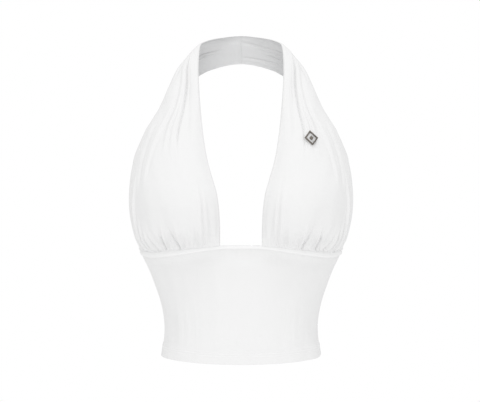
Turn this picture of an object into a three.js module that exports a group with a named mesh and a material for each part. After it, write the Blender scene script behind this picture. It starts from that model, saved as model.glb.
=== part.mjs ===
// Halter neck top in white stretch jersey, filled out as it is worn, with nobody in it.
// Two mirrored halter panels are gathered into an arched piping under the bust, run up over the
// shoulders as the neck strap and meet in a seam at the back of the neck. A fitted midriff with a
// turned hem hangs from the piping, front and back, joined at the sides. The back is open above it.
// Millimetres. +Z is up and the front faces -Y. The origin is on the inside of the neck strap at
// the middle of the back, where the nape carries the garment.

import * as THREE from "three";

const CLOTH = 1.6; // two layers of jersey, sewn together as one wall
const SEAM_GAP = 0.3; // between sewn pieces
const SIDE_SEAM_ANGLE = 0.12; // half of the same gap, in degrees round the figure
const HEM_DEPTH = 17;
const HEM_PROUD = 0.8; // the turned cloth thickens the hem outwards by this much
const HEM_STEP = 0.8; // the height in which the hem's edge reaches that thickness
const PIPING_THICK = 4.2; // from inside to outside
const PIPING_SET_IN = 1.1; // how far the piping's middle lies inside the cloth's outer face
const NECK_SEAM_ALLOWANCE = 11; // the strip of cloth pressed to one side inside the neck seam
const ALLOWANCE_THICK = 0.8;
const ALLOWANCE_STEP = 0.8; // the length in which the strip's edge reaches that thickness

// The figure's rings, from the hem up to under the bust: half the width at the sides, and where
// the front and the back of the ring lie.
const RINGS = [
  { z: -456, half: 116.0, front: -180, back: -4 },
  { z: -434, half: 112.4, front: -176, back: -6 },
  { z: -416, half: 110.8, front: -172, back: -6 },
  { z: -398, half: 111.6, front: -169.5, back: -4 },
  { z: -375, half: 116.2, front: -167.5, back: 0 },
  { z: -351, half: 124.5, front: -167, back: 6 },
  { z: -328, half: 133.7, front: -168.5, back: 13 },
  { z: -305, half: 144.2, front: -171, back: 19 },
  { z: -286, half: 149.5, front: -171.5, back: 24 },
];
const SQUARENESS = 0.022; // how far a ring leaves a true ellipse

// The seam under the bust, by the angle round the ring: 0 at the side, 90 at the middle front and
// -90 at the middle back. It dips in front of the side and rises to the middle front.
const SEAM = [
  { angle: -90, z: -305, piping: 5 },
  { angle: -40, z: -304, piping: 5 },
  { angle: 0, z: -300.9, piping: 6 },
  { angle: 16, z: -302.8, piping: 7.6 },
  { angle: 33, z: -303.9, piping: 8 },
  { angle: 50, z: -301.2, piping: 7.2 },
  { angle: 66, z: -296.5, piping: 5.6 },
  { angle: 80, z: -292.4, piping: 4 },
  { angle: 90, z: -292, piping: 3.8 },
];
const PLUNGE_ANGLE = 79.6; // where the plunge edge meets the seam
const HEM_SIDE = -449.5;
const HEM_FRONT = -454.5;
const HEM_BACK = -451.5;

// Sections of the left panel above the seam, each a curve from the plunge edge to the armhole
// edge, with the points that it leaves those edges towards. The last one is the neck seam.
const SECTIONS = [
  {
    at: "lower cup",
    plunge: [-28.5, -184, -268],
    fromPlunge: [-66, -225, -268],
    toArmhole: [-154, -197, -275],
    armhole: [-151.3, -94, -280],
  },
  {
    at: "fullest cup",
    plunge: [-29.6, -197, -239],
    fromPlunge: [-70, -241, -237],
    toArmhole: [-156, -212, -244.5],
    armhole: [-158.7, -105, -249],
  },
  {
    at: "upper cup",
    plunge: [-32.6, -199, -217],
    fromPlunge: [-71, -236, -213.5],
    toArmhole: [-156.2, -211, -216.5],
    armhole: [-160.3, -107.5, -220],
  },
  {
    at: "top of the cup",
    plunge: [-37.8, -190.5, -199],
    fromPlunge: [-74, -221, -192.5],
    toArmhole: [-154.5, -196, -189],
    armhole: [-158.1, -103.5, -191],
  },
  {
    at: "under the arm",
    plunge: [-45.8, -174, -171],
    fromPlunge: [-75, -199.5, -163.5],
    toArmhole: [-149, -174, -157],
    armhole: [-151.4, -100.5, -160],
  },
  {
    at: "upper chest",
    plunge: [-51.9, -153.5, -137],
    fromPlunge: [-74.5, -173, -130.5],
    toArmhole: [-136.5, -154.5, -123],
    armhole: [-137.3, -101, -127],
  },
  {
    at: "front of the shoulder",
    plunge: [-56, -131, -102],
    fromPlunge: [-71, -149, -96.5],
    toArmhole: [-118, -133, -92.5],
    armhole: [-118.8, -99.5, -97.5],
  },
  {
    at: "collar bone",
    plunge: [-59, -108, -69],
    fromPlunge: [-72, -121, -62],
    toArmhole: [-109, -112, -60],
    armhole: [-108.7, -89, -73.5],
  },
  {
    at: "foot of the neck",
    plunge: [-61, -80, -33],
    fromPlunge: [-73, -87, -26],
    toArmhole: [-101, -85, -33],
    armhole: [-102.5, -67, -60],
  },
  {
    at: "side of the neck",
    plunge: [-60, -52, 0],
    fromPlunge: [-67.5, -55, -0.5],
    toArmhole: [-91, -50, -20],
    armhole: [-97.5, -42, -51],
  },
  {
    at: "behind the shoulder",
    plunge: [-54.5, -31, 9.5],
    fromPlunge: [-60, -26, 7.5],
    toArmhole: [-79.5, -20, -17],
    armhole: [-82, -17, -51],
  },
  {
    at: "back of the neck",
    plunge: [-35, -12, 17],
    fromPlunge: [-40, -5.5, 12.5],
    toArmhole: [-50, 0.5, -10],
    armhole: [-48.5, 0, -31.5],
  },
  {
    at: "neck seam",
    plunge: [-0.15, -3, 21],
    fromPlunge: [-0.15, 0.5, 8],
    toArmhole: [-0.15, 3.5, -8],
    armhole: [-0.15, 3.5, -21],
  },
];

// Folds of a panel. Each runs up the panel from one section to another, counted from the seam at
// 0, at a share of the way across from the plunge edge, with a bow in the middle of its run.
// Wide is half the fold's width, and high is outwards, or inwards where it is negative.
const GATHERS = [
  { across: 0.07, toAcross: 0.1, bow: 0, section: 0, toSection: 3, wide: 4.5, high: -1 },
  { across: 0.115, toAcross: 0.105, bow: 0, section: 0, toSection: 3.8, wide: 4.5, high: 1 },
  { across: 0.133, toAcross: 0.125, bow: 0, section: 0, toSection: 3.8, wide: 4.5, high: -1.5 },
  { across: 0.163, toAcross: 0.14, bow: 0, section: 0, toSection: 4.6, wide: 5, high: 1.4 },
  { across: 0.198, toAcross: 0.188, bow: 0, section: 0, toSection: 1.7, wide: 5, high: -2.6 },
  { across: 0.235, toAcross: 0.235, bow: 0, section: 0, toSection: 1.4, wide: 5, high: 1 },
  { across: 0.275, toAcross: 0.28, bow: 0, section: 0, toSection: 1.2, wide: 5, high: -1 },
  { across: 0.31, toAcross: 0.345, bow: 0, section: 0, toSection: 1.7, wide: 5, high: 2.2 },
  { across: 0.342, toAcross: 0.4, bow: 0, section: 0, toSection: 1.5, wide: 4.5, high: -2.8 },
  { across: 0.376, toAcross: 0.432, bow: 0, section: 0, toSection: 2.7, wide: 13, high: -2 },
  { across: 0.441, toAcross: 0.447, bow: 0, section: 0, toSection: 1.5, wide: 4.8, high: 2.2 },
  { across: 0.478, toAcross: 0.468, bow: 0, section: 0, toSection: 1.2, wide: 4.5, high: -2.8 },
  { across: 0.48, toAcross: 0.44, bow: 0, section: 0, toSection: 2.8, wide: 20, high: -1.4 },
  { across: 0.525, toAcross: 0.57, bow: 0.005, section: 0, toSection: 1.6, wide: 7, high: -1.7 },
  { across: 0.555, toAcross: 0.612, bow: 0.01, section: 0, toSection: 1.4, wide: 4.5, high: -2.2 },
  { across: 0.572, toAcross: 0.632, bow: 0.01, section: 0, toSection: 1.5, wide: 4.5, high: 1.8 },
  { across: 0.592, toAcross: 0.658, bow: 0.02, section: 0, toSection: 2.2, wide: 4.5, high: -2.6 },
  { across: 0.605, toAcross: 0.695, bow: 0.03, section: 0, toSection: 1.8, wide: 4.5, high: 1.4 },
  { across: 0.637, toAcross: 0.71, bow: 0.03, section: 0, toSection: 1.5, wide: 4.5, high: -1.2 },
  { across: 0.667, toAcross: 0.748, bow: 0.035, section: 0, toSection: 5.2, wide: 6, high: 2.4 },
  { across: 0.697, toAcross: 0.82, bow: 0.04, section: 0, toSection: 5.8, wide: 6.5, high: -4 },
  { across: 0.85, toAcross: 0.9, bow: 0.02, section: 0, toSection: 4.8, wide: 8, high: 1 },
];
const CREASES = [
  // from the side of the cup up towards the shoulder
  { across: 0.65, toAcross: 0.675, bow: 0, section: 3, toSection: 6.8, wide: 7, high: -1.6 },
  { across: 0.585, toAcross: 0.54, bow: 0.01, section: 2.8, toSection: 7.6, wide: 6.5, high: 1.4 },
  { across: 0.56, toAcross: 0.495, bow: 0, section: 3.6, toSection: 7.4, wide: 5, high: -0.6 },
  // the pleat over the front of the shoulder: a crease and the rolls beside it
  { across: 0.275, toAcross: 0.21, bow: 0.075, section: 4.7, toSection: 10.3, wide: 4.5, high: -2.4 },
  { across: 0.335, toAcross: 0.29, bow: 0.062, section: 4.7, toSection: 10, wide: 4.8, high: 1.5 },
  { across: 0.405, toAcross: 0.33, bow: 0.068, section: 4.6, toSection: 9.8, wide: 4.8, high: 1.6 },
  { across: 0.48, toAcross: 0.4, bow: 0.05, section: 5, toSection: 9.6, wide: 7, high: -1.2 },
  // along the plunge edge
  { across: 0.15, toAcross: 0.15, bow: 0.02, section: 5.4, toSection: 9.8, wide: 7, high: -1.1 },
  // where the strap turns over the shoulder
  { across: 0.64, toAcross: 0.26, bow: 0, section: 8.3, toSection: 10.2, wide: 5, high: -1.6 },
];
// The strap's own folds behind the neck, which differ from side to side.
const STRAP_FOLDS = {
  left: [
    { across: 0.44, toAcross: 0.468, bow: 0, section: 10.4, toSection: 12.5, wide: 3.5, high: 2.2 },
    { across: 0.53, toAcross: 0.56, bow: 0, section: 10.4, toSection: 12.2, wide: 3.2, high: 1.9 },
    { across: 0.12, toAcross: 0.175, bow: 0, section: 10.3, toSection: 13.2, wide: 6, high: 1.8 },
  ],
  right: [
    { across: 0.34, toAcross: 0.13, bow: 0.135, section: 10.8, toSection: 13.3, wide: 4, high: 1.6 },
    { across: 0.59, toAcross: 0.605, bow: 0, section: 10.6, toSection: 12.4, wide: 3.2, high: 1.4 },
    { across: 0.7, toAcross: 0.755, bow: 0.05, section: 10.8, toSection: 13.2, wide: 3.5, high: 1.1 },
    { across: 0.42, toAcross: 0.32, bow: 0.06, section: 10.6, toSection: 12.8, wide: 5, high: -0.9 },
  ],
};
const FADE_IN = 0.3; // the share of a crease's run in which it deepens
const FADE_OUT = 0.55; // and the share in which it dies away
const SEWN_SHARE = 0.5; // of a gather's height is left where the seam holds its foot
const SEWN_REACH = 0.2;

// The ornament is an open lozenge with a smaller lozenge inside it, on the right panel.
const ORNAMENT = {
  across: 0.372,
  section: 5.62,
  halfWidth: 9.5,
  halfHeight: 12.5,
  band: 1.9,
  centreHalfWidth: 2.8,
  centreHalfHeight: 3.8,
  thick: 1.6,
  bevel: 0.5,
  stand: 0.6, // above the panel
};

const LAST = SECTIONS.length;
const mix = (a, b, t) => a + (b - a) * t;
const degrees = (a) => (a * Math.PI) / 180;
const smoothStep = (t) => {
  const s = Math.min(1, Math.max(0, t));
  return s * s * (3 - 2 * s);
};

// A smooth curve through values at rising places.
function through(places, values, at) {
  const last = places.length - 1;
  let k = 0;
  while (k < last - 1 && at > places[k + 1]) k++;
  const slope = (i) => {
    const a = Math.max(0, i - 1);
    const b = Math.min(last, i + 1);
    return (values[b] - values[a]) / (places[b] - places[a]);
  };
  const span = places[k + 1] - places[k];
  const t = (at - places[k]) / span;
  const t2 = t * t;
  const t3 = t2 * t;
  return (
    (2 * t3 - 3 * t2 + 1) * values[k] +
    (t3 - 2 * t2 + t) * span * slope(k) +
    (3 * t2 - 2 * t3) * values[k + 1] +
    (t3 - t2) * span * slope(k + 1)
  );
}
const column = (table, place, name, at) =>
  through(table.map((row) => row[place]), table.map((row) => row[name]), at);

// Round the figure, a turn runs from 0 at the left side by 90 at the middle front, 180 at the
// right side and 270 at the middle back to 360.
const seamAngle = (turn) => (turn <= 90 ? turn : turn <= 270 ? 180 - turn : turn - 360);
const seamHeight = (turn) => column(SEAM, "angle", "z", seamAngle(turn));
const pipingHeight = (turn) => column(SEAM, "angle", "piping", seamAngle(turn));
const hemHeight = (turn) =>
  mix(HEM_SIDE, turn < 180 ? HEM_FRONT : HEM_BACK, Math.sin(degrees(turn)) ** 2);

function ringPoint(turn, z) {
  const a = degrees(turn);
  const half = column(RINGS, "z", "half", z);
  const front = column(RINGS, "z", "front", z);
  const back = column(RINGS, "z", "back", z);
  const fill = 1 - SQUARENESS;
  const x = (-half * (Math.cos(a) - SQUARENESS * Math.cos(3 * a))) / fill;
  const forward = (((back - front) / 2) * (Math.sin(a) + SQUARENESS * Math.sin(3 * a))) / fill;
  return new THREE.Vector3(x, (front + back) / 2 - forward, z);
}

// The panel's lowest section, which the seam gathers into the piping.
class SeamSection extends THREE.Curve {
  getPoint(t) {
    const turn = mix(PLUNGE_ANGLE, SIDE_SEAM_ANGLE, t);
    return ringPoint(turn, seamHeight(turn) + pipingHeight(turn) / 2 + SEAM_GAP);
  }
}
const sectionCurves = [
  new SeamSection(),
  ...SECTIONS.map(
    (s) =>
      new THREE.CubicBezierCurve3(
        ...[s.plunge, s.fromPlunge, s.toArmhole, s.armhole].map((p) => new THREE.Vector3(...p)),
      ),
  ),
];

// How far up the panel each section lies, along the cloth. One more place beyond the neck seam is
// where the other panel's last section but one lies, so that the two panels meet smoothly.
const STEPS_ACROSS = 20;
const SHARES = Array.from({ length: STEPS_ACROSS + 1 }, (_, i) => i / STEPS_ACROSS);
const sectionPlaces = [0];
for (let k = 0; k < LAST; k++) {
  const rise = SHARES.map((s) =>
    sectionCurves[k].getPointAt(s).distanceTo(sectionCurves[k + 1].getPointAt(s)),
  );
  sectionPlaces.push(sectionPlaces[k] + rise.reduce((a, b) => a + b) / SHARES.length);
}
const STRAP_END = sectionPlaces[LAST];
sectionPlaces.push(2 * STRAP_END - sectionPlaces[LAST - 1]);
const sectionLengths = sectionCurves.map((c) => c.getLength());
sectionLengths.push(sectionLengths[LAST - 1]);

const sectionAt = (place) => {
  const k = Math.min(LAST, Math.max(0, sectionPlaces.findIndex((p) => p > place) - 1));
  return k + (place - sectionPlaces[k]) / (sectionPlaces[k + 1] - sectionPlaces[k]);
};
const placeAt = (section) => {
  const k = Math.min(LAST, Math.floor(section));
  return mix(sectionPlaces[k], sectionPlaces[k + 1], section - k);
};

// A point of the left panel's outer face before its folds.
function panelPoint(across, place) {
  const points = sectionCurves.map((c) => c.getPointAt(across));
  const mirrored = points[LAST - 1].clone();
  mirrored.x = -mirrored.x;
  points.push(mirrored);
  const at = (axis) => through(sectionPlaces, points.map((p) => p[axis]), place);
  return new THREE.Vector3(at("x"), at("y"), at("z"));
}

// Outwards from the panel. At the seam it is level, so that the panel's foot stays on the seam.
const ASIDE = 0.004;
const ALONG = 1;
const LEVEL_FOOT = 15; // the height in which the level foot turns square to the panel
function panelNormal(across, place) {
  const a = Math.max(0, across - ASIDE);
  const b = Math.min(1, across + ASIDE);
  const low = Math.max(0, place - ALONG);
  const high = Math.min(STRAP_END, place + ALONG);
  const acrossWay = panelPoint(b, place).sub(panelPoint(a, place));
  const upWay = panelPoint(across, high).sub(panelPoint(across, low));
  const normal = upWay.cross(acrossWay);
  normal.z *= smoothStep(place / LEVEL_FOOT);
  return normal.normalize();
}

function foldHeight(fold, across, section, sewn) {
  const run = (section - fold.section) / (fold.toSection - fold.section);
  if (run < 0 || run > 1) return 0;
  const middle = mix(fold.across, fold.toAcross, run) + fold.bow * 4 * run * (1 - run);
  const width = through([...sectionLengths.keys()], sectionLengths, section);
  const aside = (Math.abs(across - middle) * width) / fold.wide;
  if (aside >= 1) return 0;
  const start = sewn ? mix(SEWN_SHARE, 1, smoothStep(run / SEWN_REACH)) : smoothStep(run / FADE_IN);
  const strength = fold.high * start * smoothStep((1 - run) / FADE_OUT);
  return (strength * (1 + Math.cos(Math.PI * aside))) / 2;
}
function panelFolds(side, across, place) {
  const section = sectionAt(place);
  const sum = (folds, sewn) =>
    folds.reduce((total, fold) => total + foldHeight(fold, across, section, sewn), 0);
  return sum(GATHERS, true) + sum(CREASES, false) + sum(STRAP_FOLDS[side], false);
}

// A closed wall from two grids of points, with rows running up and columns to the right as they
// are seen from outside.
function wallGeometry(columns, rows, outer, inner) {
  const positions = [];
  const index = [];
  const at = (face, i, j) => (face * (rows + 1) + j) * (columns + 1) + i;
  for (const pointAt of [outer, inner]) {
    for (let j = 0; j <= rows; j++) {
      for (let i = 0; i <= columns; i++) positions.push(...pointAt(i, j).toArray());
    }
  }
  const quad = (a, b, c, d) => index.push(a, b, c, a, c, d);
  for (let j = 0; j < rows; j++) {
    for (let i = 0; i < columns; i++) {
      quad(at(0, i, j), at(0, i + 1, j), at(0, i + 1, j + 1), at(0, i, j + 1));
      quad(at(1, i, j), at(1, i, j + 1), at(1, i + 1, j + 1), at(1, i + 1, j));
    }
    quad(at(0, 0, j), at(0, 0, j + 1), at(1, 0, j + 1), at(1, 0, j));
    quad(at(0, columns, j), at(1, columns, j), at(1, columns, j + 1), at(0, columns, j + 1));
  }
  for (let i = 0; i < columns; i++) {
    quad(at(0, i, 0), at(1, i, 0), at(1, i + 1, 0), at(0, i + 1, 0));
    quad(at(0, i, rows), at(0, i + 1, rows), at(1, i + 1, rows), at(1, i, rows));
  }
  const geometry = new THREE.BufferGeometry();
  geometry.setAttribute("position", new THREE.Float32BufferAttribute(positions, 3));
  geometry.setIndex(index);
  geometry.computeVertexNormals();
  return geometry;
}

// A closed roll of rings of points that run round a section. A loop joins its last ring to its
// first, and any other roll has flat ends.
function rollGeometry(rings, loop) {
  const around = rings[0].length;
  const positions = rings.flat().flatMap((p) => p.toArray());
  const index = [];
  const count = loop ? rings.length : rings.length - 1;
  for (let r = 0; r < count; r++) {
    const next = (r + 1) % rings.length;
    for (let k = 0; k < around; k++) {
      const [a, b] = [r * around + k, r * around + ((k + 1) % around)];
      const [c, d] = [next * around + ((k + 1) % around), next * around + k];
      index.push(a, b, c, a, c, d);
    }
  }
  if (!loop) {
    const last = (rings.length - 1) * around;
    for (let k = 1; k < around - 1; k++) {
      index.push(0, k + 1, k);
      index.push(last, last + k, last + k + 1);
    }
  }
  const geometry = new THREE.BufferGeometry();
  geometry.setAttribute("position", new THREE.Float32BufferAttribute(positions, 3));
  geometry.setIndex(index);
  geometry.computeVertexNormals();
  return geometry;
}

const jersey = new THREE.MeshStandardMaterial({ color: 0xf1f1f1, roughness: 0.92, metalness: 0 });
const gunmetal = new THREE.MeshStandardMaterial({ color: 0x4a4642, roughness: 0.35, metalness: 0.9 });

const HALTER_COLUMNS = 52;
const HALTER_ROWS = 30;
const SEAM_CROWDING = 1.25; // above 1, rows lie closer together near the seam

function halter(side) {
  const toSide = side === "left" ? 1 : -1;
  // one row lies on each side of the edge of the seam allowance
  const edge = STRAP_END - NECK_SEAM_ALLOWANCE;
  const places = [];
  for (let j = 0; j <= HALTER_ROWS - 2; j++) {
    places.push(edge * (j / (HALTER_ROWS - 2)) ** SEAM_CROWDING);
  }
  places.push(edge + ALLOWANCE_STEP, STRAP_END);
  const share = (i) => (toSide > 0 ? 1 - i / HALTER_COLUMNS : i / HALTER_COLUMNS);
  const point = (i, j, inner) => {
    const across = share(i);
    const place = places[j];
    const isAllowance = side === "left" && place > edge + ALLOWANCE_STEP / 2;
    const depth = inner ? CLOTH + (isAllowance ? ALLOWANCE_THICK : 0) : 0;
    const out = panelFolds(side, across, place) - depth;
    const at = panelPoint(across, place).addScaledVector(panelNormal(across, place), out);
    at.x *= toSide;
    return at;
  };
  const mesh = new THREE.Mesh(
    wallGeometry(
      HALTER_COLUMNS,
      places.length - 1,
      (i, j) => point(i, j, false),
      (i, j) => point(i, j, true),
    ),
    jersey,
  );
  mesh.name = `halter_${side}`;
  return mesh;
}

// Outwards from the figure's rings, and level.
function ringNormal(turn, z) {
  const roundWay = ringPoint(turn + 0.5, z).sub(ringPoint(turn - 0.5, z));
  return roundWay.cross(new THREE.Vector3(0, 0, 1)).normalize();
}

const MIDRIFF_ROWS = 8; // above the hem

function midriff(name, fromTurn, toTurn, columns) {
  const point = (i, j, inner) => {
    const turn = mix(fromTurn, toTurn, i / columns);
    const top = seamHeight(turn) - pipingHeight(turn) / 2 - SEAM_GAP;
    const bottom = hemHeight(turn);
    const hemTop = bottom + HEM_DEPTH;
    const heights = [bottom, hemTop - HEM_STEP];
    for (let k = 0; k <= MIDRIFF_ROWS; k++) heights.push(mix(hemTop, top, k / MIDRIFF_ROWS));
    const z = heights[j];
    const out = inner ? -CLOTH : j < 2 ? HEM_PROUD : 0;
    return ringPoint(turn, z).addScaledVector(ringNormal(turn, z), out);
  };
  const mesh = new THREE.Mesh(
    wallGeometry(
      columns,
      MIDRIFF_ROWS + 2,
      (i, j) => point(i, j, false),
      (i, j) => point(i, j, true),
    ),
    jersey,
  );
  mesh.name = name;
  return mesh;
}

function piping(name, fromTurn, toTurn, columns) {
  const around = 10;
  const rings = [];
  for (let i = 0; i <= columns; i++) {
    const turn = mix(fromTurn, toTurn, i / columns);
    const z = seamHeight(turn);
    const out = ringNormal(turn, z);
    const ring = [];
    for (let k = 0; k < around; k++) {
      const a = (2 * Math.PI * k) / around;
      const point = ringPoint(turn, z);
      point.addScaledVector(out, (Math.cos(a) * PIPING_THICK) / 2 - PIPING_SET_IN);
      point.z -= (Math.sin(a) * pipingHeight(turn)) / 2;
      ring.push(point);
    }
    rings.push(ring);
  }
  const mesh = new THREE.Mesh(rollGeometry(rings, false), jersey);
  mesh.name = name;
  return mesh;
}

// A point over the right panel, by how far it is to the right of the ornament's middle and above
// it along the cloth, and how far out from the cloth.
function overPanel(right, up, out) {
  const place = placeAt(ORNAMENT.section);
  const middle = panelPoint(ORNAMENT.across, place);
  const acrossWay = panelPoint(ORNAMENT.across + 0.01, place).sub(middle).multiplyScalar(100);
  const upWay = panelPoint(ORNAMENT.across, place + 1).sub(middle);
  const normal = panelNormal(ORNAMENT.across, place);
  const level = new THREE.Vector3(0, 0, 1).cross(normal).normalize();
  const upright = normal.clone().cross(level).normalize();
  // the shares of the two ways across the cloth that give the two distances
  const [a, b] = [acrossWay.dot(level), upWay.dot(level)];
  const [c, d] = [acrossWay.dot(upright), upWay.dot(upright)];
  const spread = a * d - b * c;
  const across = ORNAMENT.across + (-right * d - up * b) / spread;
  const along = place + (up * a + right * c) / spread;
  const height = panelFolds("right", across, along) + out;
  const at = panelPoint(across, along).addScaledVector(panelNormal(across, along), height);
  at.x = -at.x;
  return at;
}

// A lozenge's outline as a share of the way round it, moved in by a distance.
function lozengePoint(halfWidth, halfHeight, inwards, t) {
  const shrink = 1 - (inwards * Math.hypot(halfWidth, halfHeight)) / (halfWidth * halfHeight);
  const corners = [
    [0, halfHeight],
    [-halfWidth, 0],
    [0, -halfHeight],
    [halfWidth, 0],
  ];
  const k = Math.floor(t * 4) % 4;
  const s = t * 4 - Math.floor(t * 4);
  const [from, to] = [corners[k], corners[(k + 1) % 4]];
  return [mix(from[0], to[0], s) * shrink, mix(from[1], to[1], s) * shrink];
}

function ornament() {
  const { halfWidth, halfHeight, band, thick, bevel, stand } = ORNAMENT;
  const section = [
    [band, stand],
    [band, stand + thick - bevel],
    [band - bevel, stand + thick],
    [bevel, stand + thick],
    [0, stand + thick - bevel],
    [0, stand],
  ];
  const steps = 20;
  const rings = [];
  for (let r = 0; r < steps; r++) {
    rings.push(
      section.map(([inwards, out]) =>
        overPanel(...lozengePoint(halfWidth, halfHeight, inwards, r / steps), out),
      ),
    );
  }
  const mesh = new THREE.Mesh(rollGeometry(rings, true), gunmetal);
  mesh.name = "ornament";
  return mesh;
}

function ornamentCentre() {
  const { centreHalfWidth, centreHalfHeight, thick, bevel, stand } = ORNAMENT;
  const outline = (inwards, out) => {
    const ring = [];
    for (let k = 0; k < 8; k++) {
      ring.push(overPanel(...lozengePoint(centreHalfWidth, centreHalfHeight, inwards, k / 8), out));
    }
    return ring;
  };
  const rings = [
    outline(0, stand),
    outline(0, stand + thick - bevel),
    outline(bevel, stand + thick),
  ];
  const mesh = new THREE.Mesh(rollGeometry(rings, false), gunmetal);
  mesh.name = "ornament_centre";
  return mesh;
}

const FRONT = [SIDE_SEAM_ANGLE, 180 - SIDE_SEAM_ANGLE];
const BACK = [180 + SIDE_SEAM_ANGLE, 360 - SIDE_SEAM_ANGLE];

const top = new THREE.Group();
top.add(
  halter("left"),
  halter("right"),
  midriff("midriff_front", ...FRONT, 36),
  midriff("midriff_back", ...BACK, 24),
  piping("piping_front", ...FRONT, 40),
  piping("piping_back", ...BACK, 24),
  ornament(),
  ornamentCentre(),
);

export default top;
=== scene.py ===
"""Looks of a white halter neck top, filled out as it is worn: Blender 4.5 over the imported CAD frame.

Each cut piece of jersey is a sheet of its own. Its place comes from the same named sizes and tables
as its solid, its folds are finer, and it is thinner than the solid. Lengths in the tables are in
millimetres, +Z is up and the front faces -Y.
"""

from collections import namedtuple
from math import radians

import bpy
import numpy as np
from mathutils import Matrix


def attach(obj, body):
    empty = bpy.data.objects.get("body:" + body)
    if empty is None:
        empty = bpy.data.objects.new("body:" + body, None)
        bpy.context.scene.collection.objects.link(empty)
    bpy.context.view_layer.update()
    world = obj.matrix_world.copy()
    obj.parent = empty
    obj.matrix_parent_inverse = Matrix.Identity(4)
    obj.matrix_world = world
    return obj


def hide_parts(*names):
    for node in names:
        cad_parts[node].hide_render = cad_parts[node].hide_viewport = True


MM = 0.001

# The cut, as the solids have it
CLOTH = 1.3
SEAM_GAP = 0.3
SIDE_SEAM_ANGLE = 0.12
HEM_DEPTH = 17
HEM_PROUD = 0.8
PIPING_THICK = 4.2
PIPING_SET_IN = 0.6
NECK_SEAM_ALLOWANCE = 11
ALLOWANCE_THICK = 0.8
SQUARENESS = 0.022
PLUNGE_ANGLE = 79.6
HEM_SIDE = -449.5
HEM_FRONT = -454.5
HEM_BACK = -451.5

Ring = namedtuple("Ring", "z half front back")
RINGS = [
    Ring(-456, 116.0, -180, -4),
    Ring(-434, 112.4, -176, -6),
    Ring(-416, 110.8, -172, -6),
    Ring(-398, 111.6, -169.5, -4),
    Ring(-375, 116.2, -167.5, 0),
    Ring(-351, 124.5, -167, 6),
    Ring(-328, 133.7, -168.5, 13),
    Ring(-305, 144.2, -171, 19),
    Ring(-286, 149.5, -171.5, 24),
]

# The seam under the bust, by the angle from the side: 90 is the middle front, -90 the middle back
Seam = namedtuple("Seam", "angle z piping")
SEAM = [
    Seam(-90, -305, 5),
    Seam(-40, -304, 5),
    Seam(0, -300.9, 6),
    Seam(16, -302.8, 7.6),
    Seam(33, -303.9, 8),
    Seam(50, -301.2, 7.2),
    Seam(66, -296.5, 5.6),
    Seam(80, -292.4, 4),
    Seam(90, -292, 3.8),
]

# Sections of the left panel above the seam, each a curve from the plunge edge to the armhole edge
Section = namedtuple("Section", "at plunge from_plunge to_armhole armhole")
SECTION_TABLE = [
    ("lower cup", (-28.5, -184, -268), (-66, -225, -268), (-154, -197, -275), (-151.3, -94, -280)),
    ("full cup", (-29.6, -197, -239), (-70, -241, -237), (-156, -212, -244.5), (-158.7, -105, -249)),
    ("upper cup", (-32.6, -199, -217), (-71, -236, -213.5), (-156.2, -211, -216.5), (-160.3, -107.5, -220)),
    ("cup top", (-37.8, -190.5, -199), (-74, -221, -192.5), (-154.5, -196, -189), (-158.1, -103.5, -191)),
    ("underarm", (-45.8, -174, -171), (-75, -199.5, -163.5), (-149, -174, -157), (-151.4, -100.5, -160)),
    ("chest", (-51.9, -153.5, -137), (-74.5, -173, -130.5), (-136.5, -154.5, -123), (-137.3, -101, -127)),
    ("shoulder", (-56, -131, -102), (-71, -149, -96.5), (-118, -133, -92.5), (-118.8, -99.5, -97.5)),
    ("collar bone", (-59, -108, -69), (-72, -121, -62), (-109, -112, -60), (-108.7, -89, -73.5)),
    ("neck foot", (-61, -80, -33), (-73, -87, -26), (-101, -85, -33), (-102.5, -67, -60)),
    ("neck side", (-60, -52, 0), (-67.5, -55, -0.5), (-91, -50, -20), (-97.5, -42, -51)),
    ("neck turn", (-54.5, -31, 9.5), (-60, -26, 7.5), (-79.5, -20, -17), (-82, -17, -51)),
    ("neck back", (-35, -12, 17), (-40, -5.5, 12.5), (-50, 0.5, -10), (-48.5, 0, -31.5)),
    ("neck seam", (-0.15, -3, 21), (-0.15, 0.5, 8), (-0.15, 3.5, -8), (-0.15, 3.5, -21)),
]
SECTIONS = [Section(*row) for row in SECTION_TABLE]

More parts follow.
